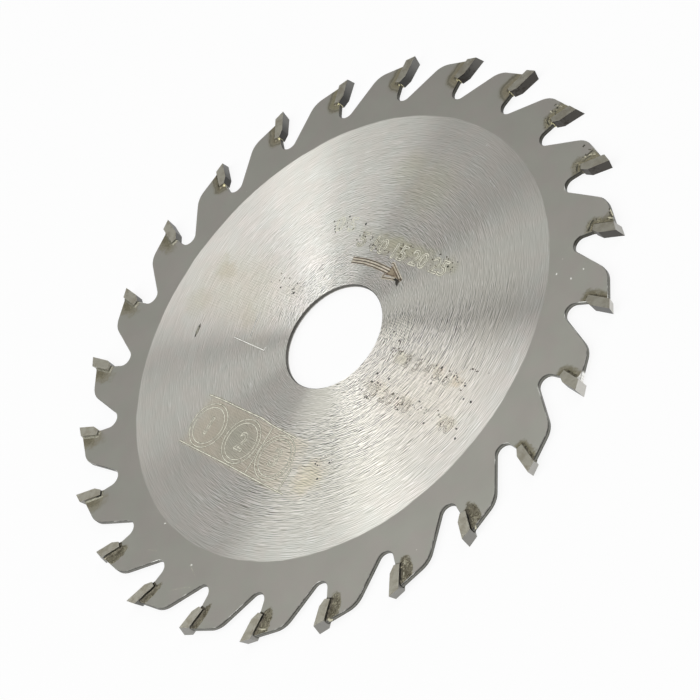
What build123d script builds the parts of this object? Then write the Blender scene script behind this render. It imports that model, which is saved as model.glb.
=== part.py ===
from build123d import *
from math import asin, degrees, radians, tan
import os

# A carbide tipped circular saw blade: a thin steel plate, 24 brazed carbide tips and the brazing
# metal in each seat. Millimetres. The bore axis is Z, the middle of the plate is Z = 0, and the
# cutting edge of tip 1 is on +X. Seen from above, the blade turns clockwise.

# Plate
blade_diameter = 85.0  # over the cutting corners
bore_diameter = 15.0
plate_thickness = 0.65
bore_chamfer = 0.1
edge_break = 0.06  # chamfer along the cut outline of the plate

# Teeth of the plate
tooth_count = 24
gullet_depth = 6.75  # from the cutting circle to the bottom of the gullet
gullet_radius = 1.2
gullet_setback = 0.32  # from the radius through the cutting edge back to the gullet's centre
back_slope_angle = 44.0  # between a tooth's back and the radius through the gullet behind it
shoulder_radius = 3.0
land_angle = 15.5  # how far the top of a tooth falls away behind its tip
land_step = 0.6  # from the back corner of the tip down to the top of the tooth

# Carbide tips
kerf = 1.5  # width over the cutting corners
tip_length = 4.15
tip_thickness = 1.3
hook_angle = 14.0
top_bevel_angle = 15.0  # alternates from tooth to tooth
low_tip_drop = 0.18  # tips that are high on the lower side are ground this much shorter
top_relief_angle = 15.0
radial_clearance_angle = 1.0  # the sides close in towards the bore
tangential_clearance_angle = 2.0  # the sides close in towards the back
nose_length = 1.0  # ground corner at the foot of the rake face
nose_depth = 0.5

# Brazing metal
braze_film = 0.08  # between the tip and its seat
bead_reach = 0.3  # how far the bead spreads over the plate
bead_crest = 0.1  # thickness of the bead at its top, against the tip
bead_step = 0.2  # from the top of the bead up to the side of the tip

cutting_radius = blade_diameter / 2
half_plate = plate_thickness / 2
half_kerf = kerf / 2
pitch_angle = 360 / tooth_count
tooth_angles = [pitch_angle * tooth for tooth in range(tooth_count)]


def meet(point, direction, other_point, other_direction):
    """Where two lines in the plane of the plate cross."""
    share = (other_point - point).cross(other_direction).Z / direction.cross(other_direction).Z
    return point + direction * share


# One tooth is drawn with its cutting edge on +X. It cuts towards -Y, so its back is on the +Y side.
cutting_edge = Vector(cutting_radius, 0)
inward = Vector(-1, 0).rotate(Axis.Z, -hook_angle)  # down the rake face
backward = inward.rotate(Axis.Z, -90)  # square to the rake face, into the tooth
relief_direction = Vector(0, 1).rotate(Axis.Z, top_relief_angle)
land_direction = Vector(0, 1).rotate(Axis.Z, land_angle)

# The tip, up to the level of its cutting edge
tip_foot = cutting_edge + inward * tip_length
tip_nose_top = tip_foot - inward * nose_length
tip_nose = tip_foot + backward * nose_depth
tip_heel = tip_foot + backward * tip_thickness
tip_back_top = meet(cutting_edge, relief_direction, tip_heel, inward)

# The seat, one film of brazing metal away from the tip
seat_toe = tip_nose + inward * braze_film
seat_corner = tip_heel + (inward + backward) * braze_film
land_start = tip_back_top + backward * braze_film + inward * land_step

# The gullet is an arc. The wall under the tip runs into it on one side, and the back slope of the
# tooth in front on the other.
gullet_centre = Vector(cutting_radius - gullet_depth + gullet_radius, gullet_setback)
toe_to_centre = gullet_centre - seat_toe
wall_turn = degrees(asin(gullet_radius / toe_to_centre.length))
wall_direction = toe_to_centre.normalized().rotate(Axis.Z, -wall_turn)
slope_direction = Vector(1, 0).rotate(Axis.Z, -back_slope_angle)
slope_foot = gullet_centre + slope_direction.rotate(Axis.Z, -90) * gullet_radius
gullet_corner = meet(seat_toe, wall_direction, slope_foot, slope_direction)

# The top of the tooth, before its seat is cut
blank_point = meet(seat_toe, inward, land_start, land_direction)
shoulder = meet(
    land_start,
    land_direction,
    slope_foot.rotate(Axis.Z, pitch_angle),
    slope_direction.rotate(Axis.Z, pitch_angle),
)

with BuildPart() as blade_body:
    with BuildSketch():
        with BuildLine():
            for angle in tooth_angles:
                FilletPolyline(
                    seat_toe.rotate(Axis.Z, angle),
                    blank_point.rotate(Axis.Z, angle),
                    shoulder.rotate(Axis.Z, angle),
                    gullet_corner.rotate(Axis.Z, angle + pitch_angle),
                    seat_toe.rotate(Axis.Z, angle + pitch_angle),
                    radius=(0, shoulder_radius, gullet_radius),
                )
        make_face()
    extrude(amount=half_plate, both=True)
    outline = blade_body.faces().filter_by(Axis.Z).edges()
    chamfer(outline, length=edge_break)
    # The seats go right through, from the wall under the tip to the top of the tooth.
    with BuildSketch():
        with PolarLocations(0, tooth_count):
            Polygon(
                seat_toe,
                seat_corner,
                seat_corner - inward * tip_length,
                seat_toe - inward * tip_length - backward * nose_depth,
                seat_toe - backward * nose_depth,
                align=None,
            )
    extrude(amount=half_plate, both=True, mode=Mode.SUBTRACT)
    with BuildSketch():
        Circle(bore_diameter / 2)
    extrude(amount=half_plate, both=True, mode=Mode.SUBTRACT)
    chamfer(blade_body.edges(Select.LAST).filter_by(GeomType.CIRCLE), length=bore_chamfer)
blade_body.part.label = "blade_body"

# The two kinds of tip. The rake face is square to the plate, the top is ground in one pass that
# gives both bevel and relief, and the two sides close in from the cutting corners.
tip_outline = (tip_nose_top, tip_nose, tip_heel, cutting_edge + backward * tip_thickness, cutting_edge)
tip_shapes = {}
for high_side, drop in ((1, 0), (-1, low_tip_drop)):
    high_corner = cutting_edge + inward * drop + Vector(0, 0, high_side * half_kerf)
    top_edge = inward * tan(radians(top_bevel_angle)) - Vector(0, 0, high_side)
    with BuildPart() as carbide_tip:
        with BuildSketch():
            Polygon(*tip_outline, align=None)
        extrude(amount=half_kerf, both=True)
        split(
            bisect_by=Plane(origin=high_corner, z_dir=relief_direction.cross(top_edge) * high_side),
            keep=Keep.TOP,
        )
        for side in (1, -1):
            out = Vector(0, 0, side)
            down_the_side = inward - out * tan(radians(radial_clearance_angle))
            back_along_side = backward - out * tan(radians(tangential_clearance_angle))
            split(
                bisect_by=Plane(
                    origin=cutting_edge + out * half_kerf,
                    z_dir=down_the_side.cross(back_along_side) * side,
                ),
                keep=Keep.TOP,
            )
    tip_shapes[high_side] = carbide_tip.part

# The brazing metal: a film under and behind the tip, and a bead on each side of the plate where
# the tip stands proud. The bead stays on the flat of the plate.
side_at_heel = (
    half_kerf
    - tip_length * tan(radians(radial_clearance_angle))
    - tip_thickness * tan(radians(tangential_clearance_angle))
)
bead_top = side_at_heel - bead_step
wall_flat = seat_toe + wall_direction.rotate(Axis.Z, -90) * edge_break
land_flat = land_start + land_direction.rotate(Axis.Z, 90) * edge_break

with BuildPart() as bead:
    with BuildSketch(Plane.XY.offset(half_plate)):
        Polygon(*tip_outline, align=None)
        offset(amount=bead_reach)
    with BuildSketch(Plane.XY.offset(bead_top)):
        Polygon(*tip_outline, align=None)
        offset(amount=bead_crest)
    loft(ruled=True)
    with BuildSketch():
        Polygon(
            meet(wall_flat, wall_direction, land_flat, land_direction),
            land_flat + land_direction * 2 * bead_reach,
            seat_corner + (inward + backward) * 2 * bead_reach,
            wall_flat + wall_direction * 2 * bead_reach,
            align=None,
        )
    extrude(amount=half_kerf, mode=Mode.INTERSECT)
    with BuildSketch():
        Polygon(*tip_outline, align=None)
    extrude(amount=half_kerf, mode=Mode.SUBTRACT)

with BuildPart() as braze_shape:
    with BuildSketch():
        Polygon(
            tip_nose,
            tip_heel,
            land_start - backward * braze_film,
            land_start,
            seat_corner,
            seat_toe,
            align=None,
        )
    extrude(amount=half_plate, both=True)
    add(bead.part)
    mirror(bead.part, about=Plane.XY)

os.makedirs("parts", exist_ok=True)
export_step(blade_body.part, "parts/blade_body.step")
for number, angle in enumerate(tooth_angles, start=1):
    high_side = -1 if number % 2 else 1
    with BuildPart() as carbide_tip:
        add(tip_shapes[high_side], rotation=(0, 0, angle))
    carbide_tip.part.label = f"carbide_tip_{number:02d}"
    export_step(carbide_tip.part, f"parts/{carbide_tip.part.label}.step")

    with BuildPart() as braze_joint:
        add(braze_shape.part, rotation=(0, 0, angle))
    braze_joint.part.label = f"braze_joint_{number:02d}"
    export_step(braze_joint.part, f"parts/{braze_joint.part.label}.step")
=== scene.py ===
import random
from math import cos, pi, radians, sin, tan

import bpy
from mathutils import Matrix, Vector


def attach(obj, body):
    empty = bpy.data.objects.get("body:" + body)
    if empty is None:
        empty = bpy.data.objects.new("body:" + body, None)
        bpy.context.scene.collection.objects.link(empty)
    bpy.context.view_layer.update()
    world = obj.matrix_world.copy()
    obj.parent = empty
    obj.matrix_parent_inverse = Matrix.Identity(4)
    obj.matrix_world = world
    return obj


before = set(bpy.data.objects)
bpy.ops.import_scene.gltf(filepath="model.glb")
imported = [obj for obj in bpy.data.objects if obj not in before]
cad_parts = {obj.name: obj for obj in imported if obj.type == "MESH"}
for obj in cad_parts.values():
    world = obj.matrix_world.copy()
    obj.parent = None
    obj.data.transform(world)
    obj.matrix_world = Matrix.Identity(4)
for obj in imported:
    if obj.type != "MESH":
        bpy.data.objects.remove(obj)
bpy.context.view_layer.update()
scene = bpy.context.scene

# Sizes of the blade, in millimetres, as the solids have them
MM = 0.001
PLATE_TOP = 0.325
FLOOR_Z = -0.75
BORE_RADIUS = 7.5
EDGE_RADIUS = 42.5
TOOTH_COUNT = 24
TOOTH_PITCH = 2 * pi / TOOTH_COUNT
TIP_LENGTH, TIP_THICKNESS = 4.15, 1.3
HOOK = radians(14)
INWARD = (-cos(HOOK), sin(HOOK))  # down the rake face of the tip on +X
BACKWARD = (sin(HOOK), cos(HOOK))  # from its rake face to its back

# Teeth go by the number that Net.tooth gives: 0 is the tooth on +X, 12 the one on -X, and those on the
# side of -Y run from -11 to -1. First and last number of the groups that look alike
CRINKLED_TEETH = (0, 2)
SMOOTH_TEETH = (3, 8)
CALM_TEETH = ((9, 12), (-11, -11))
POOLED_TEETH = (-10, -4)
THIN_TEETH = (-3, -1)
# One tooth has bright brazing metal along its top, painted near-white together with its washed-out highlight
SPILL_TOOTH = -2
SPILL_HIGHLIGHT_COLOUR = (0.93, 0.92, 0.87)

# The bright ground face inside the matt rim, and the middle of the grinding lines that cross the others
DISC_CENTRE = (0.04, 0.74)
DISC_RADIUS = 32.3
CROSSING_CENTRE = (2.6, 2.5)
STREAK_RADIUS = 20  # where streaks have their stated length
BRIGHTEST_LINE = 1.33  # a lighter one would reach white in red and green, and turn blue

# The rows of marks run this way, in degrees
ROW_TURN = -38

# Places where the laser left the steel matt: centre, half lengths, direction in degrees, share
HAZE = [
    (-18.8, 17.6, 3.2, 1.9, -58, 0.50),
    (-22.6, 14.0, 3.6, 2.8, -20, 0.30),
    (-14.4, 9.0, 2.2, 3.6, 8, 0.33),
    (-7.6, 9.8, 2.6, 2.2, -40, 0.20),
    (-15.5, 13.2, 11.0, 6.0, -35, 0.27),
    (-12.5, 4.2, 2.4, 1.8, 0, 0.09),
    (-2.6, -20.2, 3.4, 2.6, 20, 0.46),
    (0.4, 17.8, 2.4, 1.4, -35, 0.12),
    (4.4, 14.4, 2.2, 1.7, -40, 0.10),
    (10.6, 9.6, 8.2, 1.7, ROW_TURN, 0.46),
    (17.2, 4.4, 2.2, 1.4, ROW_TURN, 0.36),
    (14.0, 18.0, 5.0, 5.0, 0, 0.23),
    (11.0, 22.4, 3.4, 3.0, 0, 0.24),
    (10.8, -7.0, 2.0, 1.1, ROW_TURN, 0.42),
    (7.8, -10.6, 3.4, 1.2, ROW_TURN, 0.30),
    (16.2, -11.1, 2.2, 1.2, ROW_TURN, 0.32),
    (19.4, -13.6, 1.6, 1.2, ROW_TURN, 0.52),
    (11.8, -13.8, 3.2, 1.3, ROW_TURN, 0.26),
    (18.0, -18.9, 2.1, 1.3, -48, 0.34),
    (13.6, -13.0, 11.0, 6.5, ROW_TURN, 0.15),
    # Beside the bore: not laser haze but the share of a pale matt patch that is a painted highlight
    (10.0, -3.0, 3.4, 2.4, -20, 0.26),
]
HATCH_PITCH = 0.34

# The field behind the rings, its darker middle, and beside the bore a pale matt patch that is a painted
# highlight
RING_FIELD = (-13.34, -11.68, 11.0, 3.7, -37.7, 0.44)
MIDDLE_RING = (-14.2, -11.0, 4.4, 3.6, ROW_TURN, 0.9)
PAINTED_BORE_HIGHLIGHT = (10.0, -3.0, 4.4, 3.2, -20, 1.0)


class Net:
    """A material whose nodes are written as sums and calls."""

    def __init__(self, name):
        self.material = bpy.data.materials.new(name)
        self.material.use_nodes = True
        self.tree = self.material.node_tree
        self.tree.nodes.clear()
        coordinates = self.tree.nodes.new("ShaderNodeTexCoord")
        self.place = self.vector("SCALE", coordinates.outputs["Object"], scale=1 / MM)
        self.x, self.y, self.z = self.split(self.place)

    def node(self, kind, inputs=(), **settings):
        made = self.tree.nodes.new(kind)
        for name, value in settings.items():
            setattr(made, name, value)
        for name, value in dict(inputs).items():
            self.plug(made.inputs[name], value)
        return made

    def plug(self, socket, value):
        if isinstance(value, bpy.types.NodeSocket):
            self.tree.links.new(value, socket)
        elif isinstance(value, (tuple, list)) and len(value) == 3 and socket.type == "RGBA":
            socket.default_value = (*value, 1)
        else:
            socket.default_value = value

    def math(self, operation, *values):
        made = self.node("ShaderNodeMath", operation=operation)
        for socket, value in zip(made.inputs, values):
            self.plug(socket, value)
        return made.outputs[0]

    def add(self, *values):
        total = values[0]
        for value in values[1:]:
            total = self.math("ADD", total, value)
        return total

    def times(self, *values):
        product = values[0]
        for value in values[1:]:
            product = self.math("MULTIPLY", product, value)
        return product

    def vector(self, operation, *values, scale=None):
        made = self.node("ShaderNodeVectorMath", operation=operation)
        for socket, value in zip(made.inputs, values):
            self.plug(socket, value)
        if scale is not None:
            self.plug(made.inputs["Scale"], scale)
        if operation in ("LENGTH", "DOT_PRODUCT"):
            return made.outputs["Value"]
        return made.outputs["Vector"]

    def split(self, vector):
        return self.node("ShaderNodeSeparateXYZ", {"Vector": vector}).outputs[:]

    def join(self, x, y, z):
        return self.node("ShaderNodeCombineXYZ", {"X": x, "Y": y, "Z": z}).outputs[0]

    def noise(self, vector, scale, detail=2.0, roughness=0.5):
        inputs = {"Vector": vector, "Scale": scale, "Detail": detail, "Roughness": roughness}
        return self.node("ShaderNodeTexNoise", inputs).outputs["Fac"]

    def chance(self, number, seed):
        """A number from 0 to 1 that is the same all over one tooth."""
        key = self.join(number, seed, 0.5)
        return self.node("ShaderNodeTexWhiteNoise", {"Vector": key}).outputs["Value"]

    def step(self, value, low, high):
        """0 at low, 1 at high, smooth between. low may be above high."""
        made = self.node("ShaderNodeMapRange", interpolation_type="SMOOTHSTEP")
        for name, number in (("Value", value), ("From Min", low), ("From Max", high)):
            self.plug(made.inputs[name], number)
        return made.outputs["Result"]

    def swing(self, value, amount):
        """1 plus or minus amount as value goes from 0.3 to 0.7."""
        return self.add(1, self.times(self.add(value, -0.5), 5, amount))

    def mix(self, share, first, second):
        made = self.node("ShaderNodeMix", data_type="RGBA")
        self.plug(made.inputs[0], share)
        self.plug(made.inputs[6], first)
        self.plug(made.inputs[7], second)
        return made.outputs[2]

    def tint(self, colour, factor):
        """A colour made lighter or darker by a number."""
        return self.vector("SCALE", colour, scale=factor)

    def bump(self, height, depth):
        inputs = {"Height": height, "Distance": depth * MM, "Strength": 1.0}
        return self.node("ShaderNodeBump", inputs).outputs[0]

    def pushed(self, scale, amount):
        """The place, pushed about by noise."""
        shifts = self.node("ShaderNodeTexNoise", {"Vector": self.place, "Scale": scale, "Detail": 3})
        centred = self.vector("ADD", shifts.outputs["Color"], (-0.5, -0.5, -0.5))
        return self.vector("ADD", self.place, self.vector("SCALE", centred, scale=amount))

    def metal(self, **inputs):
        names = {key.replace("_", " ").title().replace("Ior", "IOR"): inputs[key] for key in inputs}
        return self.node("ShaderNodeBsdfPrincipled", names).outputs[0]

    def blend(self, share, first, second):
        made = self.node("ShaderNodeMixShader")
        for socket, value in zip(made.inputs, (share, first, second)):
            self.plug(socket, value)
        return made.outputs[0]

    def finish(self, shader):
        self.node("ShaderNodeOutputMaterial", {"Surface": shader})
        return self.material

    def tooth(self):
        """How far down the rake face a point is, how far behind it, and the number of its tooth."""
        angle = self.math("ARCTAN2", self.y, self.x)
        number = self.math("ROUND", self.times(angle, 1 / TOOTH_PITCH))
        half_turn = TOOTH_COUNT / 2  # the tooth on -X has one number on both sides of the axis
        number = self.math("WRAP", number, half_turn + 0.5, 0.5 - half_turn)
        local = self.add(angle, self.times(number, -TOOTH_PITCH))
        radius = self.vector("LENGTH", self.join(self.x, self.y, 0.0))
        out = self.add(self.times(radius, self.math("COSINE", local)), -EDGE_RADIUS)
        across = self.times(radius, self.math("SINE", local))
        down = self.add(self.times(out, INWARD[0]), self.times(across, INWARD[1]))
        behind = self.add(self.times(out, BACKWARD[0]), self.times(across, BACKWARD[1]))
        return down, behind, number

    def tip_gap(self, down, behind):
        """Distance outside the outline of the tip."""
        past = []
        for value, size in ((down, TIP_LENGTH), (behind, TIP_THICKNESS)):
            over = self.math("ABSOLUTE", self.add(value, -size / 2))
            past.append(self.math("MAXIMUM", self.add(over, -size / 2), 0.0))
        return self.vector("LENGTH", self.join(past[0], past[1], 0.0))

    def facing(self):
        """How far the face looks up or down, and how far it looks the way that the blade turns."""
        normal = self.node("ShaderNodeNewGeometry").outputs["True Normal"]
        up = self.math("ABSOLUTE", self.split(normal)[2])
        round_way = self.vector("NORMALIZE", self.join(self.y, self.times(self.x, -1), 0.0))
        return up, self.vector("DOT_PRODUCT", normal, round_way)

    def local(self, place, x, y, half_length, half_width, turn):
        """The place as seen from the middle of an oval or a field, in half lengths."""
        inputs = {
            "Vector": place,
            "Location": (x, y, 0),
            "Rotation": (0, 0, radians(turn)),
            "Scale": (half_length, half_width, 1000),
        }
        return self.node("ShaderNodeMapping", inputs, vector_type="TEXTURE").outputs[0]

    def patch(self, place, x, y, half_length, half_width, turn, strength):
        """A soft oval: strength in its middle, 0 outside."""
        local = self.local(place, x, y, half_length, half_width, turn)
        return self.times(self.step(self.vector("LENGTH", local), 1.25, 0.25), strength)

    def field(self, place, x, y, half_length, half_width, turn, strength):
        """A rectangle with soft edges."""
        parts = self.split(self.local(place, x, y, half_length, half_width, turn))
        across = self.step(self.math("ABSOLUTE", parts[1]), 1.12, 0.88)
        along = self.step(self.math("ABSOLUTE", parts[0]), 1.08, 0.80)
        return self.times(across, along, strength)


def around(net, centre):
    """Distance from a centre in the plane of the plate, and the direction away from it."""
    away = net.join(net.add(net.x, -centre[0]), net.add(net.y, -centre[1]), 0.0)
    return net.vector("LENGTH", away), net.vector("NORMALIZE", away)


def streaks(net, outward, radius, length, width, detail=2.0):
    """Noise drawn out along the circles. length and width are in millimetres at STREAK_RADIUS."""
    ex, ey, _ = net.split(outward)
    turns = STREAK_RADIUS / length
    stretched = net.join(net.times(ex, turns), net.times(ey, turns), net.times(radius, 1 / width))
    return net.noise(stretched, 1.0, detail, 0.55)


def scratches(net, outward, radius, length, width):
    """Hair lines along the circles, with a dark side and a bright side, about 0.5."""
    first = streaks(net, outward, radius, length, width, 0.0)
    second = streaks(net, outward, net.add(radius, 0.9 * width), length, width, 0.0)
    return net.step(net.add(second, net.times(first, -1)), -0.26, 0.26)


def hatching(net):
    """Straight lines side by side, as the laser went to and fro, about 0.5."""
    turn = radians(ROW_TURN)
    along = net.add(net.times(net.x, cos(turn)), net.times(net.y, sin(turn)))
    across = net.add(net.times(net.x, -sin(turn)), net.times(net.y, cos(turn)))
    drift = net.noise(net.join(net.times(along, 0.25), net.times(across, 0.7), 0.0), 1.0, 1)
    wave = net.math("SINE", net.add(net.times(across, 2 * pi / HATCH_PITCH), net.times(drift, 6.0)))
    patches = net.join(net.times(along, 0.6), net.times(across, 1.6), 3.0)
    shown = net.step(net.noise(patches, 1.0, 1), 0.34, 0.60)
    return net.add(0.5, net.times(wave, shown, 0.5))


def line_depth(net, radius, towards):
    """The grinding lines are deepest in sectors at the front and the back, which are narrower near the
    bore, and they fade at the outside."""
    near = net.step(radius, 16.0, 11.0)
    front = net.step(towards(290), 0.15, 0.85)
    front_near = net.times(net.step(towards(312), 0.62, 0.96), 1.25)
    front = net.add(net.times(front, net.add(1, net.times(near, -1))), net.times(front_near, near))
    back = net.times(net.step(towards(80), 0.0, 0.9), 0.24)
    back_near = net.times(net.step(towards(108), 0.6, 0.95), near, 0.72)
    depth = net.math("MAXIMUM", net.math("MAXIMUM", front, back), back_near)
    depth = net.add(0.14, net.times(depth, 0.86))
    return net.add(0.07, net.times(depth, net.step(radius, 38.0, 13.0)))


def sector_light(net, radius, along):
    """Painted reflection in the colour: sectors where the open grain is made brighter, and one at the
    outside made darker.
    """
    front = net.times(net.step(along(320), 0.77, 0.96), net.step(radius, 26.0, 12.0), 0.24)
    rows = net.times(net.step(along(312), 0.96, 0.99), net.step(radius, 30.0, 24.0), 0.10)
    back = net.times(net.step(along(122), 0.90, 0.99), net.step(radius, 18.0, 12.0), 0.15)
    outside = net.times(net.step(along(290), 0.85, 0.97), net.step(radius, 14.0, 20.0), -0.05)
    return net.add(1.0, front, rows, back, outside)


def ground_face(net, haze, haze_colour):
    """Steel with the short lines of a grinding wheel running round the centre. Where there is haze
    it is matt, and hatched by the laser."""
    radius, outward = around(net, DISC_CENTRE)
    ex, ey, _ = net.split(outward)
    hair = scratches(net, outward, radius, 1.4, 0.10)
    side_radius, side_outward = around(net, CROSSING_CENTRE)
    crossing = scratches(net, side_outward, side_radius, 1.8, 0.105)
    glint = net.step(streaks(net, side_outward, side_radius, 1.8, 0.11, 0.0), 0.66, 0.76)
    broad = streaks(net, outward, radius, 9.0, 0.9)
    bunch = net.step(streaks(net, outward, radius, 4.0, 0.55), 0.34, 0.66)
    cloud = net.noise(net.place, 0.14, 3)

    def along(angle):
        return net.add(net.times(ex, cos(radians(angle))), net.times(ey, sin(radians(angle))))

    def towards(angle):
        return net.add(along(angle), net.times(net.add(cloud, -0.5), 0.5))

    # Groups of lines run one way or the other, and haze wears them down
    depth = line_depth(net, radius, towards)
    pick = net.step(net.noise(net.place, 0.55, 1), 0.40, 0.60)
    along_ring = net.times(hair, net.add(0.72, net.times(pick, -0.5)))
    lines = net.add(along_ring, net.times(crossing, net.add(0.22, net.times(pick, 0.5))))
    worn = net.add(1, net.times(haze, -0.9))
    strength = net.times(depth, worn, net.add(0.62, net.times(bunch, 0.7)))
    hatch = net.times(net.add(hatching(net), -0.5), net.step(haze, 0.04, 0.16))
    hatch = net.times(hatch, net.add(0.08, net.times(depth, 0.8)))
    line = net.add(net.times(net.add(lines, -0.47), strength, 2.25), net.times(hatch, 0.62))

    # Lightness: the grain, then a painted sheen towards 115 and 295 degrees and painted reflection by sector
    shade = net.add(0.98, line, net.times(net.add(broad, -0.5), 0.12))
    shade = net.add(shade, net.times(glint, depth, 0.80), net.times(net.add(bunch, -0.5), depth, 0.04))
    shade = net.times(shade, net.swing(cloud, 0.02))
    painted_sheen = along(115)
    shade = net.times(shade, net.add(0.96, net.times(painted_sheen, painted_sheen, 0.08)))
    shade = net.times(shade, sector_light(net, radius, along))
    shade = net.math("MINIMUM", shade, BRIGHTEST_LINE)

    # Colour
    hue = net.step(net.noise(net.place, 0.35), 0.35, 0.65)
    tone = net.mix(hue, (0.747, 0.722, 0.664), (0.730, 0.727, 0.669))
    warm = net.times(net.step(along(305), 0.2, 0.8), net.step(radius, 32.0, 24.0))
    tone = net.mix(warm, tone, (0.742, 0.722, 0.649))
    tone = net.vector("MULTIPLY", tone, net.join(1.0, 1.0, net.add(0.86, net.times(shade, 0.14))))
    bare = net.metal(
        base_color=net.tint(tone, shade),
        metallic=1.0,
        roughness=net.add(0.33, net.times(hair, 0.04)),
        anisotropic=1.0,
        tangent=outward,
        normal=net.bump(net.times(lines, depth), 0.001),
    )
    mottle = net.swing(net.noise(net.place, 1.6, 3, 0.6), 0.05)
    matt = net.metal(
        base_color=net.tint(haze_colour, net.times(net.add(1, net.times(line, 0.8)), mottle)),
        metallic=0.0,
        roughness=0.6,
        specular_ior_level=0.0,
    )
    return net.blend(haze, bare, matt)


def among(net, number, first, last):
    """1 on the teeth from first to last, 0 on the others."""
    return net.times(net.step(number, first - 0.6, first - 0.4), net.step(number, last + 0.6, last + 0.4))


def among_calm(net, number):
    """1 on the teeth of CALM_TEETH, 0 on the others."""
    return net.add(*[among(net, number, *group) for group in CALM_TEETH])


def oval(net, down, behind, middle, half):
    """Distance from a middle point beside the tip, where the edge of an oval is 1."""
    parts = [net.times(net.add(value, -m), 1 / h) for value, m, h in zip((down, behind), middle, half)]
    return net.vector("LENGTH", net.join(parts[0], parts[1], 0.0))


def stained(net, colour, down, behind, number):
    """Flux and heat round the tips, with painted shade and highlights in its folds and against the tip:
    the new colour, and how lumpy it is. Each group of teeth has its own kind."""
    crinkled = among(net, number, *CRINKLED_TEETH)
    smooth = among(net, number, *SMOOTH_TEETH)
    spotted = among_calm(net, number)
    pooled = among(net, number, *POOLED_TEETH)
    thin = among(net, number, *THIN_TEETH)
    gap = net.tip_gap(down, behind)
    wander = net.add(net.noise(net.place, 1.3, 4, 0.62), -0.5)
    flecks = net.noise(net.place, 5.0, 3, 0.6)

    # How far into the stain a point is: the dark part ends about 0.9, the pale part about 1.4
    folds = net.times(crinkled, net.step(down, 3.4, 1.6))
    reach = net.add(0.80, net.times(net.chance(number, 1.5), 0.30))
    reach = net.add(reach, net.times(thin, -0.28), net.times(folds, 0.55))
    ragged_gap = net.add(gap, net.times(wander, net.add(1.5, net.times(smooth, -0.7))))
    depth = net.math("DIVIDE", ragged_gap, reach)
    spot = oval(net, down, behind, (2.4, 1.9), (2.3, 1.2))
    spot = net.add(0.35, net.times(spot, 0.9), net.times(wander, 1.2))
    narrow = net.times(among(net, number, -9, -8), net.add(behind, -TIP_THICKNESS), 0.75)
    pool = oval(net, down, net.add(behind, narrow), (2.75, 1.9), (2.15, 0.95))
    pool = net.add(pool, net.times(wander, 0.8))
    depth = net.add(depth, net.times(spotted, net.add(spot, net.times(depth, -1))))
    edged = net.add(0.9, net.times(net.add(pool, -1), 3.2))
    depth = net.add(depth, net.times(pooled, net.add(edged, net.times(depth, -1))))

    near = net.mix(net.chance(number, 7.5), (0.235, 0.212, 0.155), (0.255, 0.238, 0.160))
    near = net.mix(pooled, near, (0.218, 0.200, 0.147))
    pale = net.times(net.step(number, -0.6, 1.4), net.step(number, 8.5, 6.5))
    contrast = net.add(0.20, net.times(pooled, 0.16), net.times(smooth, -0.10))
    near = net.tint(near, net.times(net.swing(flecks, contrast), net.add(1, net.times(pale, 0.28))))
    far = net.tint((0.345, 0.325, 0.25), net.swing(flecks, 0.08))
    colour = net.mix(net.times(net.step(depth, 1.75, 1.10), 0.9), colour, far)
    colour = net.mix(net.times(net.step(depth, 1.15, 0.60), 0.95), colour, near)

    # A dark rim round the smooth stains and the pools, and dark and pale clots in the pools
    rim = net.step(net.math("ABSOLUTE", net.add(depth, -1.12)), 0.22, 0.06)
    rim = net.times(rim, net.add(net.times(smooth, 0.35), net.times(pooled, 0.5)))
    colour = net.mix(rim, colour, (0.10, 0.09, 0.06))
    clots = net.noise(net.place, 1.1, 3, 0.65)
    inside = net.times(net.step(depth, 1.1, 0.9), pooled)
    colour = net.mix(net.times(net.step(clots, 0.47, 0.40), inside, 0.65), colour, (0.09, 0.078, 0.052))
    colour = net.mix(net.times(net.step(clots, 0.60, 0.66), inside, 0.65), colour, (0.44, 0.42, 0.33))

    # Wrinkled flux, with painted highlights on the ridges and painted shade in the folds, and darkening
    # against the tip that is partly soot and partly painted shade
    fold = net.noise(net.place, 1.5, 2, 0.6)
    crest_highlight = net.step(net.math("ABSOLUTE", net.add(fold, -0.56)), 0.035, 0.0)
    crease_shade = net.step(net.math("ABSOLUTE", net.add(fold, -0.50)), 0.030, 0.0)
    folded = net.add(0.12, net.times(crinkled, 0.60), net.times(pooled, 0.40))
    folded = net.times(net.step(depth, 1.6, 1.2), folded)
    colour = net.mix(net.times(crest_highlight, folded), colour, (0.60, 0.57, 0.42))
    colour = net.mix(net.times(crease_shade, folded), colour, (0.05, 0.045, 0.03))
    soot_and_painted_shade = net.step(net.add(gap, net.times(net.add(flecks, -0.5), 0.5)), 0.42, 0.22)
    # Less of this darkening on the pale, spotted and pooled teeth
    painted_shade_level = net.add(net.times(pale, -0.45), net.times(spotted, -0.65), net.times(pooled, -0.40))
    soot_and_painted_shade = net.times(soot_and_painted_shade, net.add(0.75, painted_shade_level))
    colour = net.mix(soot_and_painted_shade, colour, (0.055, 0.05, 0.038))
    colour = net.mix(spilled(net, down, behind, number), colour, SPILL_HIGHLIGHT_COLOUR)
    return colour, net.step(depth, 1.3, 0.7)


def spilled(net, down, behind, number):
    """1 where bright brazing metal runs along the top of one tooth; its near-white colour carries a painted
    highlight.
    """
    wide = net.times(net.step(down, 2.0, 1.8), net.step(behind, 2.85, 2.65), net.step(behind, -1.0, -0.8))
    return net.times(wide, among(net, number, SPILL_TOOTH, SPILL_TOOTH))


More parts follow.
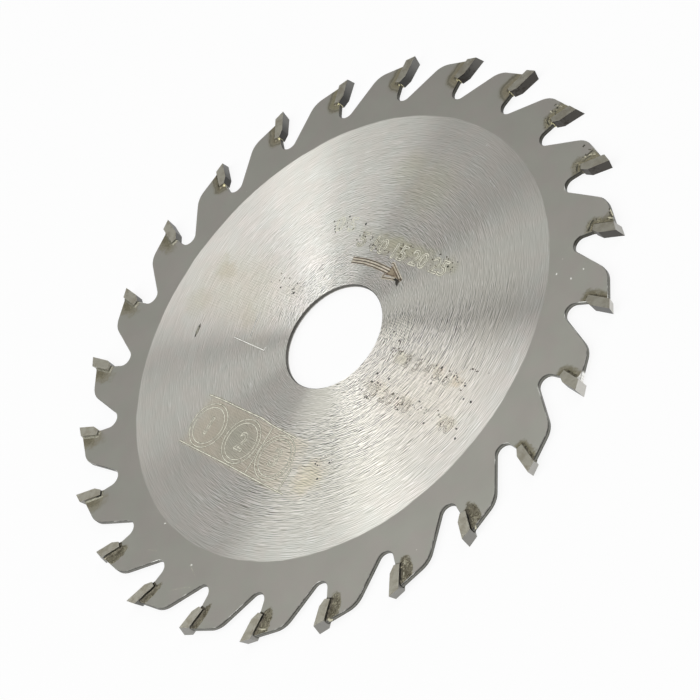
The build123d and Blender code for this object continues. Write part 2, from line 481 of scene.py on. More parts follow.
def hazy(net):
    """The share of haze, only on the marked side, and its colour."""
    ragged = net.pushed(0.9, 2.6)
    framed = net.field(net.pushed(1.2, 0.9), *RING_FIELD)
    haze = framed
    for spot in HAZE:
        haze = net.math("MAXIMUM", net.patch(ragged, *spot), haze)
    mottle = net.noise(net.place, 2.2, 3, 0.6)
    haze = net.times(haze, net.step(net.z, 0.0, 0.1), net.add(0.65, net.times(mottle, 0.6)))
    north_east = net.step(net.add(net.x, net.y), 6.0, 16.0)
    hue = net.step(net.noise(net.place, 0.5), 0.38, 0.62)
    tan_haze = net.mix(hue, (0.475, 0.425, 0.29), (0.46, 0.425, 0.275))
    south_haze = net.mix(hue, (0.63, 0.52, 0.37), (0.60, 0.53, 0.35))
    tan_haze = net.mix(net.step(net.y, -7.0, -12.0), tan_haze, south_haze)
    colour = net.mix(north_east, tan_haze, (0.375, 0.36, 0.225))
    # Beside the bore the haze colour is a painted highlight
    colour = net.mix(net.patch(ragged, *PAINTED_BORE_HIGHLIGHT), colour, (0.74, 0.72, 0.62))
    ring_haze = net.mix(net.patch(ragged, *MIDDLE_RING), (0.455, 0.395, 0.285), (0.30, 0.29, 0.20))
    last_ring = net.step(net.x, -12.0, -8.0)
    ring_haze = net.mix(last_ring, ring_haze, (0.56, 0.49, 0.37))
    return haze, net.mix(net.step(framed, 0.05, 0.25), colour, ring_haze)


def matt_rim(net):
    """Blasted steel, made a little lighter towards +X by a painted gradient of light, with specks of dust
    and the stains of the tips.
    """
    grain = net.noise(net.place, 9.0, 3, 0.6)
    cloud = net.noise(net.place, 0.16, 3)
    hue = net.noise(net.place, 0.3)
    colour = net.mix(net.step(hue, 0.35, 0.65), (0.447, 0.447, 0.397), (0.455, 0.436, 0.397))
    painted_light_gradient = net.add(1.033, net.times(net.x, 0.0017), net.times(net.y, -0.0006))
    colour = net.tint(colour, net.times(painted_light_gradient, net.swing(grain, 0.025), net.swing(cloud, 0.03)))
    dust = net.node("ShaderNodeTexVoronoi", {"Vector": net.place, "Scale": 0.55})
    speck = net.step(dust.outputs["Distance"], 0.06, 0.03)
    keep = net.step(net.split(dust.outputs["Color"])[0], 0.80, 0.82)
    colour = net.mix(net.times(speck, keep, 0.8), colour, (0.75, 0.73, 0.68))
    colour, rough = stained(net, colour, *net.tooth())
    lumps = net.noise(net.place, 3.0, 3, 0.6)
    return net.metal(
        base_color=colour,
        metallic=1.0,
        roughness=net.add(0.46, net.times(rough, 0.12)),
        normal=net.bump(net.add(net.times(grain, 0.12), net.times(rough, lumps)), 0.03),
    )


def cut_sides(net, up):
    """Cut walls are dark with a lighter line along the middle, and broken edges shine here and there.
    On the first eight teeth the walls in front, and their edges, are darkened by painted shade."""
    _, forward = net.facing()
    down, behind, number = net.tooth()
    spill_lit = spilled(net, down, behind, number)
    painted_dark_front = net.times(net.step(forward, 0.1, 0.4), among(net, number, 0, 7))
    grooves = net.join(net.times(net.x, 5.0), net.times(net.y, 5.0), net.times(net.z, 0.6))
    drag = net.noise(grooves, 1.0, 3, 0.6)
    level = net.add(net.times(net.z, 1 / PLATE_TOP), net.times(net.add(drag, -0.5), 0.5))
    middle = net.step(net.math("ABSOLUTE", net.add(level, 0.05)), 0.75, 0.25)
    cut_colour = net.mix(middle, (0.065, 0.063, 0.053), (0.21, 0.208, 0.185))
    painted_dark_colour = net.mix(middle, (0.035, 0.033, 0.028), (0.085, 0.083, 0.07))
    cut_colour = net.mix(painted_dark_front, cut_colour, painted_dark_colour)
    cut_colour = net.mix(spill_lit, cut_colour, SPILL_HIGHLIGHT_COLOUR)
    from_axis = net.vector("LENGTH", net.join(net.x, net.y, 0.0))
    bore = net.step(from_axis, BORE_RADIUS + 0.7, BORE_RADIUS + 0.5)
    # Painted shade and light on the bore wall: dark at the top, light towards the bottom
    painted_bore_shading = net.mix(net.step(net.z, -0.02, -0.2), (0.115, 0.112, 0.10), (0.62, 0.61, 0.58))
    wall = net.metal(
        base_color=net.tint(net.mix(bore, cut_colour, painted_bore_shading), net.swing(drag, 0.22)),
        metallic=1.0,
        roughness=0.42,
        normal=net.bump(drag, 0.012),
    )
    shine = net.step(net.noise(net.place, 0.45, 3), 0.48, 0.62)
    edge_colour = net.mix(shine, (0.22, 0.217, 0.20), (0.80, 0.79, 0.75))
    edge_colour = net.mix(net.times(painted_dark_front, 0.9), edge_colour, (0.10, 0.098, 0.085))
    edge_colour = net.mix(bore, edge_colour, (0.12, 0.115, 0.105))
    edge_colour = net.mix(spill_lit, edge_colour, SPILL_HIGHLIGHT_COLOUR)
    edge = net.metal(
        base_color=net.tint(edge_colour, net.swing(net.noise(net.place, 2.5, 3), 0.25)),
        metallic=1.0,
        roughness=0.4,
    )
    return net.blend(net.step(up, 0.4, 0.5), wall, edge)


def plate_look():
    net = Net("plate_steel_look")
    ground = ground_face(net, *hazy(net))
    radius, _ = around(net, DISC_CENTRE)
    wobble = net.times(net.add(net.noise(net.place, 0.25), -0.5), 0.3)
    inside = net.step(net.add(radius, wobble), DISC_RADIUS + 0.1, DISC_RADIUS - 0.1)
    face = net.blend(inside, matt_rim(net), ground)
    up, _ = net.facing()
    return net.finish(net.blend(net.step(up, 0.9, 0.95), cut_sides(net, up), face))


def carbide_look():
    net = Net("carbide_look")
    up, forward = net.facing()
    down, _, number = net.tooth()
    blotch = net.noise(net.place, 1.1, 4, 0.6)
    grain = net.noise(net.place, 11.0, 3, 0.6)
    grooves = net.join(net.times(net.x, 3.0), net.times(net.y, 3.0), net.times(net.z, 14.0))
    grinding = net.noise(grooves, 1.0)
    angle = net.times(number, TOOTH_PITCH)
    # Each tip has its own tone, and painted light makes the tips lighter round -Y and darker round +Y
    painted_light_across = net.math("COSINE", net.add(angle, radians(105)))
    batch_and_painted_light = net.add(0.94, net.times(net.chance(number, 3.5), 0.12), net.times(painted_light_across, 0.07))
    side = net.mix(net.step(blotch, 0.42, 0.66), (0.49, 0.475, 0.40), (0.40, 0.375, 0.30))
    # Top facets: a painted highlight on the three teeth before +X, darker on the other teeth round -Y,
    # darkest on one
    painted_shade_level = net.add(
        0.66,
        net.times(net.step(number, -3.9, -1.9), 0.70),
        net.times(net.step(number, -0.9, 0.0), -0.36),
        net.times(among(net, number, -9, -9), -0.32),
    )
    top = net.tint((0.47, 0.46, 0.43), painted_shade_level)
    colour = net.tint(net.mix(net.step(up, 0.7, 0.9), top, side), batch_and_painted_light)

    # Rake faces carry painted shade, darkest on the first teeth from +X on, and on teeth 4 to 8 a painted
    # light that fades down the face
    painted_dark_rakes = net.times(net.step(number, -0.6, -0.4), net.step(number, 5.2, 3.0))
    rake_colour = net.mix(painted_dark_rakes, (0.155, 0.153, 0.145), (0.085, 0.08, 0.072))
    painted_light_rakes = among(net, number, 4, 8)
    fade = net.times(painted_light_rakes, net.step(net.add(down, net.times(blotch, 1.2)), 1.2, 4.2))
    rake_colour = net.tint(rake_colour, net.add(1.0, net.times(painted_light_rakes, 0.22), net.times(fade, -0.75)))
    burnt = net.times(net.step(net.noise(net.place, 2.0, 4, 0.7), 0.50, 0.60), among(net, number, 1, 4))
    burnt = net.times(burnt, net.step(down, 1.2, 2.4), 0.6)
    rake_colour = net.mix(burnt, rake_colour, (0.032, 0.027, 0.022))
    rake = net.times(net.step(forward, 0.25, 0.45), net.step(up, 0.9, 0.7))
    colour = net.mix(rake, colour, rake_colour)
    marks = net.add(net.times(grain, 0.6), net.times(grinding, 0.4))
    return net.finish(
        net.metal(
            base_color=net.tint(colour, net.swing(marks, 0.09)),
            metallic=1.0,
            roughness=net.add(0.38, net.times(grain, 0.15)),
            normal=net.bump(net.add(grain, grinding), 0.004),
        )
    )


def braze_look():
    """Lumpy brazing metal: dark, with a broken black line along the tip that is partly a split and partly
    painted shadow of the gap, on the teeth round -Y, smooth and as pale as the plate on the teeth round -X,
    and yellow at the nose on those round +Y."""
    net = Net("braze_look")
    down, behind, number = net.tooth()
    gap = net.tip_gap(down, behind)
    cracked = among(net, number, *POOLED_TEETH)
    calm = among_calm(net, number)
    lumps = net.noise(net.place, 2.4, 4, 0.62)
    fleck = net.noise(net.place, 1.2, 3, 0.6)
    light = net.mix(cracked, (0.27, 0.245, 0.175), (0.155, 0.14, 0.105))
    colour = net.mix(net.step(lumps, 0.30, 0.62), (0.05, 0.045, 0.033), light)
    even = net.mix(net.step(lumps, 0.35, 0.60), (0.215, 0.205, 0.158), (0.325, 0.312, 0.25))
    colour = net.mix(calm, colour, even)
    fleck = net.times(net.step(fleck, 0.66, 0.70), net.add(1, net.times(calm, -1)))
    colour = net.mix(fleck, colour, (0.66, 0.60, 0.42))
    brassy = net.step(oval(net, down, behind, (4.25, 0.45), (0.5, 0.45)), 1.15, 0.75)
    brassy = net.times(brassy, net.step(lumps, 0.42, 0.54), among(net, number, 2, 8))
    colour = net.mix(brassy, colour, (0.86, 0.80, 0.50))
    broken = net.times(cracked, net.step(net.noise(net.place, 0.85, 3, 0.6), 0.46, 0.52))
    at_nose = net.times(net.step(down, 3.2, 3.5), net.step(behind, 0.2, 0.5))
    nose_only = net.times(among(net, number, -11, -11), at_nose)
    crack_and_painted_shadow = net.times(net.step(gap, 0.15, 0.08), net.math("MAXIMUM", broken, nose_only))
    colour = net.mix(crack_and_painted_shadow, colour, (0.012, 0.011, 0.009))
    colour = net.mix(spilled(net, down, behind, number), colour, SPILL_HIGHLIGHT_COLOUR)
    return net.finish(
        net.metal(base_color=colour, metallic=0.8, roughness=0.5, normal=net.bump(lumps, 0.06))
    )


def mark_look(name, fresh, worn, scale, wear=(0.40, 0.60)):
    """A mark that noise rubs from its fresh colour to its worn one."""
    net = Net(name)
    rubbed = net.noise(net.place, scale, 3, 0.6)
    colour = net.mix(net.step(rubbed, *wear), fresh, worn)
    return net.finish(
        net.metal(base_color=colour, metallic=0.1, roughness=0.5, normal=net.bump(rubbed, 0.004))
    )


def floor_look():
    """White paper that keeps the shadow of the object. What is seen or mirrored is mostly plain white."""
    net = Net("floor_look")
    cloud = net.noise(net.place, 0.02, 2)
    path = net.node("ShaderNodeLightPath").outputs
    seen = net.math("MAXIMUM", path["Is Camera Ray"], path["Is Glossy Ray"])
    seen = net.math("MAXIMUM", seen, path["Is Transmission Ray"])
    paper = net.metal(
        base_color=net.tint((0.86, 0.86, 0.86), net.swing(cloud, 0.004)),
        metallic=0.0,
        roughness=0.9,
        specular_ior_level=0.0,
    )
    glow = net.node("ShaderNodeEmission", {"Color": (1, 1, 1, 1), "Strength": 1.0}).outputs[0]
    return net.finish(net.blend(net.times(seen, 0.88), paper, glow))


# How far each kind of mark stands above the face, so that those on top of others are higher
SHADE_LEVEL = 0.003
FINE_LEVEL = 0.004
HEAD_LEVEL = 0.005
LINE_LEVEL = 0.006
SPECK_LEVEL = 0.007
DARK_LEVEL = 0.008
CREASE_LEVEL = 0.010
CREST_LEVEL = 0.014
MARK_DEPTH = 0.01  # how far they reach into the plate
RING_PARTS = 64
DOT_PARTS = 8
SHARPEST_LEAN = 0.5  # a stroke gets at most twice its width in a sharp corner


class Relief:
    """Thin closed shapes that stand just proud of the face of the plate."""

    def __init__(self, level):
        self.top = PLATE_TOP + level
        self.bottom = PLATE_TOP - MARK_DEPTH
        self.points, self.faces = [], []

    def slab(self, outline):
        """A filled shape."""
        count, start = len(outline), len(self.points)
        for z in (self.bottom, self.top):
            self.points += [(x * MM, y * MM, z * MM) for x, y in outline]
        self.faces.append(range(start + count - 1, start - 1, -1))
        self.faces.append(range(start + count, start + 2 * count))
        for here in range(count):
            after = (here + 1) % count
            self.faces.append((start + here, start + after, start + count + after, start + count + here))

    def line(self, path, width, closed=False):
        """A stroke of even width along a path."""
        path = [Vector(point) for point in path]
        count = len(path)
        sides = []
        for here in range(count):
            before = path[here - 1] if here or closed else None
            after = path[(here + 1) % count] if here < count - 1 or closed else None
            ways = []
            if before is not None:
                ways.append((path[here] - before).normalized())
            if after is not None:
                ways.append((after - path[here]).normalized())
            way = sum(ways, Vector((0, 0))).normalized()
            across = Vector((-way.y, way.x))
            lean = max(SHARPEST_LEAN, abs(across.dot(Vector((-ways[0].y, ways[0].x)))))
            sides.append((path[here] + across * width / 2 / lean, path[here] - across * width / 2 / lean))
        start = len(self.points)
        for left, right in sides:
            for point, z in ((left, self.bottom), (right, self.bottom), (right, self.top), (left, self.top)):
                self.points.append((point.x * MM, point.y * MM, z * MM))
        for here in range(count if closed else count - 1):
            one, two = start + 4 * here, start + 4 * ((here + 1) % count)
            for corner in range(4):
                other = (corner + 1) % 4
                self.faces.append((one + corner, one + other, two + other, two + corner))
        if not closed:
            last = start + 4 * (count - 1)
            self.faces.append((start + 3, start + 2, start + 1, start))
            self.faces.append((last, last + 1, last + 2, last + 3))

    def ring(self, centre, radius, width):
        turns = [2 * pi * part / RING_PARTS for part in range(RING_PARTS)]
        self.line([(centre[0] + radius * cos(t), centre[1] + radius * sin(t)) for t in turns], width, True)

    def dot(self, centre, radius, stretch, turn):
        """A small filled oval, longer by stretch in the direction of turn."""
        spread = []
        for part in range(DOT_PARTS):
            along = radius * stretch * cos(2 * pi * part / DOT_PARTS)
            across = radius * sin(2 * pi * part / DOT_PARTS)
            spread.append(
                (
                    centre[0] + along * cos(turn) - across * sin(turn),
                    centre[1] + along * sin(turn) + across * cos(turn),
                )
            )
        self.slab(spread)

    def piece(self, name, material):
        made = new_mesh(name, self.points, self.faces, material)
        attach(made, "root")


def beside(path, offset):
    """A path moved sideways."""
    path = [Vector(point) for point in path]
    moved = []
    for here, point in enumerate(path):
        way = path[min(here + 1, len(path) - 1)] - path[max(here - 1, 0)]
        moved.append(point + way.orthogonal().normalized() * offset)
    return moved


def new_mesh(name, points, faces, material):
    mesh = bpy.data.meshes.new(name)
    mesh.from_pydata(points, [], [tuple(face) for face in faces])
    mesh.update()
    mesh.materials.append(material)
    made = bpy.data.objects.new(name, mesh)
    scene.collection.objects.link(made)
    return made


FIGURE_HEIGHT = 0.72  # of a figure, as a share of the size of the font


def number_outlines(text, height):
    """The outlines of plain numbers, standing on the X axis from the origin."""
    curve = bpy.data.curves.new("numbers", "FONT")
    curve.body = text
    curve.size = height / FIGURE_HEIGHT
    curve.fill_mode = "NONE"
    curve.resolution_u = 3
    maker = bpy.data.objects.new("numbers", curve)
    scene.collection.objects.link(maker)
    drawn = bpy.data.meshes.new_from_object(maker.evaluated_get(bpy.context.evaluated_depsgraph_get()))
    joined = {}
    for edge in drawn.edges:
        first, second = edge.vertices
        joined.setdefault(first, []).append(second)
        joined.setdefault(second, []).append(first)
    outlines, used = [], set()
    for start in sorted(joined):
        if start in used:
            continue
        loop, here = [start], start
        used.add(start)
        while True:
            following = [other for other in joined[here] if other not in used]
            if not following:
                break
            here = following[0]
            used.add(here)
            loop.append(here)
        outlines.append([tuple(drawn.vertices[index].co[:2]) for index in loop])
    bpy.data.objects.remove(maker)
    bpy.data.curves.remove(curve)
    bpy.data.meshes.remove(drawn)
    return outlines


# Materials on the solids
looks = {"blade": plate_look(), "carbide": carbide_look(), "braze": braze_look()}
for name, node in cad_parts.items():
    node.data.materials.clear()
    node.data.materials.append(looks[name.split("_")[0]])

# Materials of the marks: fresh colour, worn colour, scale of the wear
pale = mark_look("mark_pale", (0.86, 0.84, 0.70), (0.52, 0.51, 0.43), 2.2, (0.42, 0.66))
cream = mark_look("mark_cream", (0.62, 0.565, 0.46), (0.46, 0.42, 0.33), 1.6)
shadow = mark_look("mark_shadow", (0.17, 0.16, 0.12), (0.33, 0.32, 0.26), 1.8)
tan_mark = mark_look("mark_tan", (0.21, 0.165, 0.11), (0.33, 0.275, 0.19), 1.4)
scorch = mark_look("mark_scorch", (0.13, 0.11, 0.075), (0.36, 0.32, 0.25), 2.6)
brown = mark_look("mark_brown", (0.030, 0.018, 0.011), (0.11, 0.072, 0.045), 1.8)
scorch_dark = mark_look("mark_scorch_dark", (0.035, 0.030, 0.021), (0.16, 0.14, 0.10), 2.4)
pit = mark_look("mark_pit", (0.016, 0.014, 0.010), (0.045, 0.04, 0.03), 2.5)
bright = mark_look("mark_bright", (0.95, 0.94, 0.90), (0.80, 0.79, 0.75), 2.0)
faint = mark_look("mark_faint", (0.60, 0.58, 0.47), (0.40, 0.39, 0.32), 1.8)
crease_shade_mark = mark_look("mark_crease_shade", (0.038, 0.036, 0.022), (0.12, 0.115, 0.08), 1.6)
crest_highlight_mark = mark_look("mark_crest_highlight", (0.62, 0.59, 0.44), (0.38, 0.36, 0.27), 2.0)

# Widths of the strokes
STROKE = 0.12
INNER_STROKE = 0.10
SHAFT_STROKE = 0.15
NUMBER_STROKE = 0.11
SMALL_NUMBER_STROKE = 0.08
SHADOW = 0.28
NUMBER_SHADOW = 0.25
RING_NUMBER_SHADOW = 0.22
CORNER_SHADOW = 0.26

# Arrow that shows which way the blade turns
SHAFT = [(2.25, 11.15), (4.35, 10.05), (5.85, 9.02), (7.15, 7.98), (8.35, 6.95)]
SHAFT_WIDTH = 1.0
SHAFT_LINES = (-0.37, 0.0, 0.37)
BARBS = [
    [(8.62, 8.15), (8.95, 7.95), (10.25, 4.85)],
    [(10.25, 4.85), (7.25, 6.45), (7.5, 6.85)],
]
BARB_WIDTH = 0.42
INNER_BARBS = [
    [(8.5, 7.75), (8.75, 7.45), (9.85, 4.95)],
    [(7.45, 6.95), (7.75, 6.75), (9.1, 6.0)],
]
HEAD = [(7.75, 6.75), (9.95, 5.1), (8.85, 7.65)]
body = Relief(SHADE_LEVEL)
outline = Relief(DARK_LEVEL)
body.line(SHAFT, SHAFT_WIDTH)
for offset in SHAFT_LINES:
    outline.line(beside(SHAFT, offset), SHAFT_STROKE)
for path in BARBS:
    body.line(path, BARB_WIDTH)
    outline.line(path, STROKE)
for path in INNER_BARBS:
    outline.line(path, INNER_STROKE)
body.piece("arrow_body", cream)
head = Relief(HEAD_LEVEL)
head.slab(HEAD)
head.piece("arrow_head", tan_mark)
outline.piece("arrow_outline", brown)

# Frame with three plain rings
RINGS = [(-19.5, -7.0), (-13.8, -11.3), (-8.1, -15.6)]
RING_RADII = (3.15, 2.62)
RING_STROKE = 0.85  # width of the rings, as a share of the width of the frame's lines
FRAME_PATHS = [
    [(-24.2, -7.75), (-20.2, -10.8), (-15.7, -14.2), (-12.8, -16.5), (-10.0, -18.7), (-6.35, -21.5)],
    [(-19.8, -2.15), (-17.4, -3.8), (-14.3, -6.15), (-10.7, -8.8), (-8.6, -10.75), (-4.8, -13.8)],
    [(-12.8, -16.45), (-8.75, -10.85)],
    [(-7.2, -20.7), (-5.3, -18.1)],
]
frame_lines = Relief(LINE_LEVEL)
frame_shadow = Relief(SHADE_LEVEL)
for drawing, width in ((frame_lines, STROKE), (frame_shadow, SHADOW)):
    for path in FRAME_PATHS:
        drawing.line(path, width)
    for centre in RINGS:
        for radius in RING_RADII:
            drawing.ring(centre, radius, width * RING_STROKE)
frame_lines.piece("ring_frame", pale)
frame_shadow.piece("ring_frame_shadow", shadow)

# Corner lines beside the bore
CORNER_PATHS = [
    [(-16.5, 5.75), (-11.25, 1.8), (-10.9, 2.3)],
    [(-13.75, 4.75), (-13.0, 7.0), (-12.3, 8.2)],
]
corner = Relief(LINE_LEVEL)
corner_shadow = Relief(SHADE_LEVEL)
for path in CORNER_PATHS:
    corner.line(path, STROKE)
    corner_shadow.line(path, CORNER_SHADOW)
corner.piece("corner_lines", bright)
corner_shadow.piece("corner_shadow", shadow)

# Plain numbers: figures, their height, the place where they start, and their direction in degrees
LONG_ROWS = [
    ("5 10 15 20 25", 2.25, 2.6, 13.4, -36.5),
    ("0 5", 2.2, -1.2, 17.2, -24.0),
]
RING_ROWS = [(str(index), 2.6, x - 1.35, y - 0.5, -37.0) for index, (x, y) in enumerate(RINGS, start=1)]
SHORT_ROWS = [
    ("1 2 3 4 5 6", 1.8, 9.2, -7.0, ROW_TURN),
    ("10 20 30", 1.8, 4.9, -10.3, ROW_TURN),
    ("40", 1.9, 16.2, -19.2, ROW_TURN),
]


def written(rows, width, drawing):
    """Strokes along the outlines of the figures."""
    for text, height, x, y, turn in rows:
        along = Vector((cos(radians(turn)), sin(radians(turn))))
        upright = Vector((-along.y, along.x))
        for loop in number_outlines(text, height):
            placed = [Vector((x, y)) + along * px + upright * py for px, py in loop]
            drawing.line(placed, width, True)


numbers = Relief(LINE_LEVEL)
written(LONG_ROWS, NUMBER_STROKE, numbers)
numbers.piece("number_outlines", pale)
ring_numbers = Relief(LINE_LEVEL)
written(RING_ROWS, INNER_STROKE, ring_numbers)
ring_numbers.piece("ring_numbers", pale)
shades = Relief(SHADE_LEVEL)
written(LONG_ROWS[:1], NUMBER_SHADOW, shades)
written(RING_ROWS, RING_NUMBER_SHADOW, shades)
shades.piece("number_shadow", shadow)
small_numbers = Relief(FINE_LEVEL)
written(SHORT_ROWS, SMALL_NUMBER_STROKE, small_numbers)
small_numbers.piece("small_numbers", scorch)

# Pits that the laser burned: the large ones, a burn at the point of the arrow, and rows of small ones
# with their ends, the spread to both sides and how many there are
PITS = [
    (9.97, -5.8), (7.29, -8.23), (9.11, -9.67), (15.5, -12.53), (16.21, -10.14), (17.05, -10.73),
    (19.4, -13.0), (20.55, -14.6), (10.56, -13.04), (13.89, -14.6), (20.38, -16.44), (21.46, -17.23),
    (17.16, -18.96), (19.34, -21.72), (14.63, -17.98), (-0.92, 17.31), (1.42, 18.42), (4.12, 16.14),
    (3.25, 14.63), (5.45, 12.25), (17.36, 4.32), (0.64, -19.11), (-9.31, 11.06), (-7.06, 9.34),
    (7.8, -10.1), (6.5, -9.15), (-1.1, -20.9),
]
ARROW_BURN = [
    (8.95, 5.45), (9.3, 5.1), (9.35, 4.55), (9.62, 4.1), (9.8, 4.6), (10.05, 4.75), (9.6, 5.2), (9.35, 5.6),
]
PIT_RADIUS, SPECK_RADIUS = 0.125, 0.08
PIT_ROWS = [
    ((9.2, -5.4), (12.4, -8.2), 0.8, 16),
    ((13.6, -8.8), (20.8, -14.6), 0.9, 34),
    ((5.2, -8.8), (14.8, -17.2), 1.0, 36),
    ((16.2, -17.2), (19.6, -20.4), 0.8, 9),
    ((20.4, -11.9), (24.2, -14.2), 0.12, 10),
    ((4.6, -10.2), (6.3, -11.6), 0.15, 6),
    ((-10.6, 13.2), (-5.2, 8.6), 0.9, 20),
    ((2.6, 14.8), (18.6, 3.8), 1.0, 64),
    ((-1.6, 17.9), (2.8, 16.6), 0.9, 16),
    ((-1.6, -18.4), (1.2, -18.8), 0.9, 12),
    ((8.0, -2.6), (12.4, -5.6), 0.8, 12),
]


def strewn(start, end, spread, count, seed, drawing):
    """Specks along a line, up to spread on both sides of it."""
    chance = random.Random(seed)
    start, end = Vector(start), Vector(end)
    across = (end - start).orthogonal().normalized()
    for _ in range(count):
        place = start.lerp(end, chance.random()) + across * chance.uniform(-spread, spread)
        stretch, turn = chance.uniform(1.0, 1.7), chance.uniform(0, pi)
        drawing.dot(place, SPECK_RADIUS * chance.uniform(0.6, 1.5), stretch, turn)


pits = Relief(DARK_LEVEL)
for index, place in enumerate(PITS):
    pits.dot(place, PIT_RADIUS + 0.02 * (index % 3), 1.0 + 0.3 * (index % 2), radians(55 - 11 * index))
burns = Relief(SPECK_LEVEL)
for seed, row in enumerate(PIT_ROWS):
    strewn(*row, seed, burns)
burns.piece("laser_specks", scorch_dark)
pits.slab(ARROW_BURN)
pits.piece("laser_pits", pit)

# A nick in the face, and its two dark ends
NICK = [(-23.42, 8.15), (-23.3, 9.0), (-22.95, 9.8), (-22.55, 10.2), (-22.5, 9.6), (-22.8, 8.8)]
NICK_ENDS = [
    [(-23.4, 8.2), (-23.32, 8.75), (-23.1, 8.6), (-23.2, 8.25)],
    [(-22.8, 9.7), (-22.6, 10.1), (-22.52, 9.7), (-22.65, 9.35)],
]
nick = Relief(FINE_LEVEL)
nick.slab(NICK)
nick.piece("nick", shadow)
nick_ends = Relief(DARK_LEVEL)
for shape in NICK_ENDS:
    nick_ends.slab(shape)
nick_ends.piece("nick_ends", pit)

# Dark strokes in the folds of the flux behind the first three tips, partly dark flux and partly painted
# shade in the creases: width, then path
CREASE_SHADES = [
    (0.25, [(37.86, 1.8), (37.9, 2.04), (38.08, 2.38), (38.23, 2.77), (38.46, 3.08), (38.65, 3.1)]),
    (0.175, [(40.73, 4.04), (41.0, 3.69), (41.08, 3.35), (41.26, 2.95)]),
    (0.15, [(40.81, 3.54), (40.92, 3.08), (41.16, 2.69)]),
    (0.2, [(40.9, 2.33), (41.25, 2.2)]),
    (0.25, [(36.26, 11.4), (36.12, 11.74), (36.18, 12.3), (36.32, 12.66)]),
    (0.2, [(37.82, 13.58), (38.1, 13.74), (38.42, 13.94)]),
    (0.15, [(37.34, 13.78), (37.58, 13.5), (37.82, 13.58)]),
    (0.125, [(37.82, 14.3), (38.2, 14.14)]),
    (0.125, [(36.86, 12.74), (37.66, 13.06), (38.2, 13.18)]),
    (0.25, [(37.02, 15.02), (37.3, 15.26)]),
    (0.275, [(32.84, 22.0), (33.05, 22.08)]),
    (0.25, [(32.88, 22.36), (33.0, 22.5)]),
    (0.225, [(33.1, 22.86), (33.34, 22.96)]),
    (0.15, [(32.74, 23.36), (32.98, 23.56), (33.12, 23.46)]),
    (0.15, [(32.42, 22.66), (32.56, 22.84)]),
    (0.175, [(31.98, 21.75), (31.72, 21.5), (31.86, 21.0), (32.06, 20.56)]),
]
# Pale strokes of painted highlight on the ridges of those folds and on the beads behind the tips round -Y
CREST_HIGHLIGHTS = [
    (0.125, [(40.92, 3.85), (41.14, 3.23), (41.32, 2.75)]),
    (0.15, [(40.6, 2.77), (40.98, 2.54), (41.26, 2.38)]),
    (0.175, [(37.86, 13.4), (38.3, 13.36)]),
    (0.1, [(38.4, 13.34), (38.9, 13.12)]),
    (0.125, [(37.26, 13.42), (37.5, 13.28)]),
    (0.125, [(32.17, 22.83), (32.48, 22.36)]),
    (0.125, [(33.5, 22.83), (33.72, 22.98), (33.96, 22.7)]),
    (0.125, [(33.2, 23.3), (33.36, 23.1)]),
    (0.175, [(-9.24, -39.57), (-8.6, -39.7), (-7.99, -39.98), (-7.4, -40.1)]),
    (0.275, [(1.9, -41.3), (2.3, -41.6), (2.68, -41.6)]),
    (0.15, [(12.77, -36.43), (12.8, -36.97)]),
    (0.15, [(12.72, -38.03), (12.74, -38.44)]),
    (0.2, [(22.69, -34.73), (22.71, -35.21)]),
    (0.125, [(21.71, -33.02), (21.79, -33.45)]),
]
crease_shades = Relief(CREASE_LEVEL)
for width, path in CREASE_SHADES:
    crease_shades.line(path, width)
crease_shades.piece("flux_crease_shades", crease_shade_mark)
crest_highlights = Relief(CREST_LEVEL)
for width, path in CREST_HIGHLIGHTS:
    crest_highlights.line(path, width)
crest_highlights.piece("flux_crest_highlights", crest_highlight_mark)

# Nicks drawn as near-white spots whose brightness is a painted glint, and hair scratches
GLINT_NICK_RADIUS = 0.09
PAINTED_GLINT_NICKS = [
    (12.6, 1.8), (23.4, 15.3), (24.0, 14.2), (-25.27, -19.94), (-20.15, -27.51), (22.64, 21.3),
    (37.19, -3.58), (35.44, -4.32), (33.38, -2.88), (1.7, 19.4),
]
SCRATCH_WIDTH = 0.05
SCRATCHES = [
    [(-23.2, -30.3), (-21.6, -30.4), (-20.0, -30.75)],
    [(-20.4, -27.4), (-19.4, -29.3)],
    [(-27.6, -23.1), (-26.2, -23.7)],
]
glints = Relief(FINE_LEVEL)
for index, place in enumerate(PAINTED_GLINT_NICKS):
    glints.dot(place, GLINT_NICK_RADIUS, 1.8, radians(70 - 23 * index))
glints.piece("painted_glint_nicks", bright)
scores = Relief(FINE_LEVEL)
for path in SCRATCHES:
    scores.line(path, SCRATCH_WIDTH)
scores.piece("rim_scratches", faint)

# Floor
FLOOR_REACH = 3.0  # metres to each side
FLOOR_CORNERS = ((-1, -1), (1, -1), (1, 1), (-1, 1))
floor = new_mesh(
    "floor",
    [(x * FLOOR_REACH, y * FLOOR_REACH, FLOOR_Z * MM) for x, y in FLOOR_CORNERS],
    [(0, 1, 2, 3)],
    floor_look(),
)


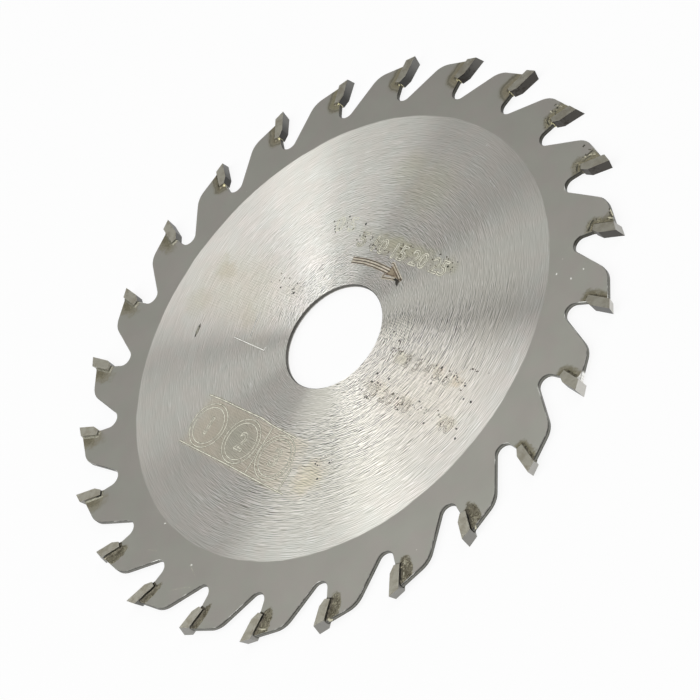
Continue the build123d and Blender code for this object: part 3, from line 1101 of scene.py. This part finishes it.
def looking_back(azimuth, elevation):
    """The direction to a camera or lamp that looks at the origin, and its turn, from degrees."""
    azimuth, elevation = radians(azimuth), radians(elevation)
    level = cos(elevation)
    towards = Vector((level * cos(azimuth), level * sin(azimuth), sin(elevation)))
    return towards, towards.to_track_quat("Z", "Y").to_matrix().to_4x4()


# Camera, as the photograph was taken: its place in metres, then the angles it looks from and its roll
CAMERA_PLACE = (0.17983, -0.19892, 0.23000)
CAMERA_AZIMUTH, CAMERA_ELEVATION, CAMERA_ROLL = -47.8788, 41.0230, -50.5212
SENSOR_WIDTH, FOCAL_LENGTH = 36, 142.986
camera_data = bpy.data.cameras.new("camera")
camera_data.sensor_width = SENSOR_WIDTH
camera_data.lens = FOCAL_LENGTH
camera_data.clip_start = 0.01
camera_data.clip_end = 20
camera = bpy.data.objects.new("camera", camera_data)
_, camera_turn = looking_back(CAMERA_AZIMUTH, CAMERA_ELEVATION)
camera_turn = camera_turn @ Matrix.Rotation(radians(CAMERA_ROLL), 4, "Z")
camera.matrix_world = Matrix.Translation(CAMERA_PLACE) @ camera_turn
scene.collection.objects.link(camera)
scene.camera = camera


def softbox(name, azimuth, elevation, spread, radiance, colour):
    """A round lamp one metre away. spread is the half angle that it fills."""
    data = bpy.data.lights.new(name, "AREA")
    data.shape = "DISK"
    data.size = 2 * tan(radians(spread))
    data.color = colour
    data.energy = radiance * pi * pi * data.size**2 / 4
    lamp = bpy.data.objects.new(name, data)
    towards, turn = looking_back(azimuth, elevation)
    lamp.matrix_world = Matrix.Translation(towards) @ turn
    scene.collection.objects.link(lamp)


WARM = (1.0, 0.985, 0.992)
COOL = (0.972, 1.0, 0.99)
softbox("lamp_north", 135, 41, 8, 1.62, WARM)
softbox("lamp_east", 54, 36, 20, 1.603, COOL)
softbox("lamp_top", 294, 83, 30, 1.835, WARM)
softbox("lamp_west", 219, 48, 30, 1.615, COOL)

# The dim room between the lamps
ROOM_COLOUR = (0.12, 0.12, 0.12, 1)
world = bpy.data.worlds.new("studio")
scene.world = world
world.use_nodes = True
background = world.node_tree.nodes["Background"]
background.inputs["Color"].default_value = ROOM_COLOUR
background.inputs["Strength"].default_value = 1.0

scene.view_settings.view_transform = "Standard"
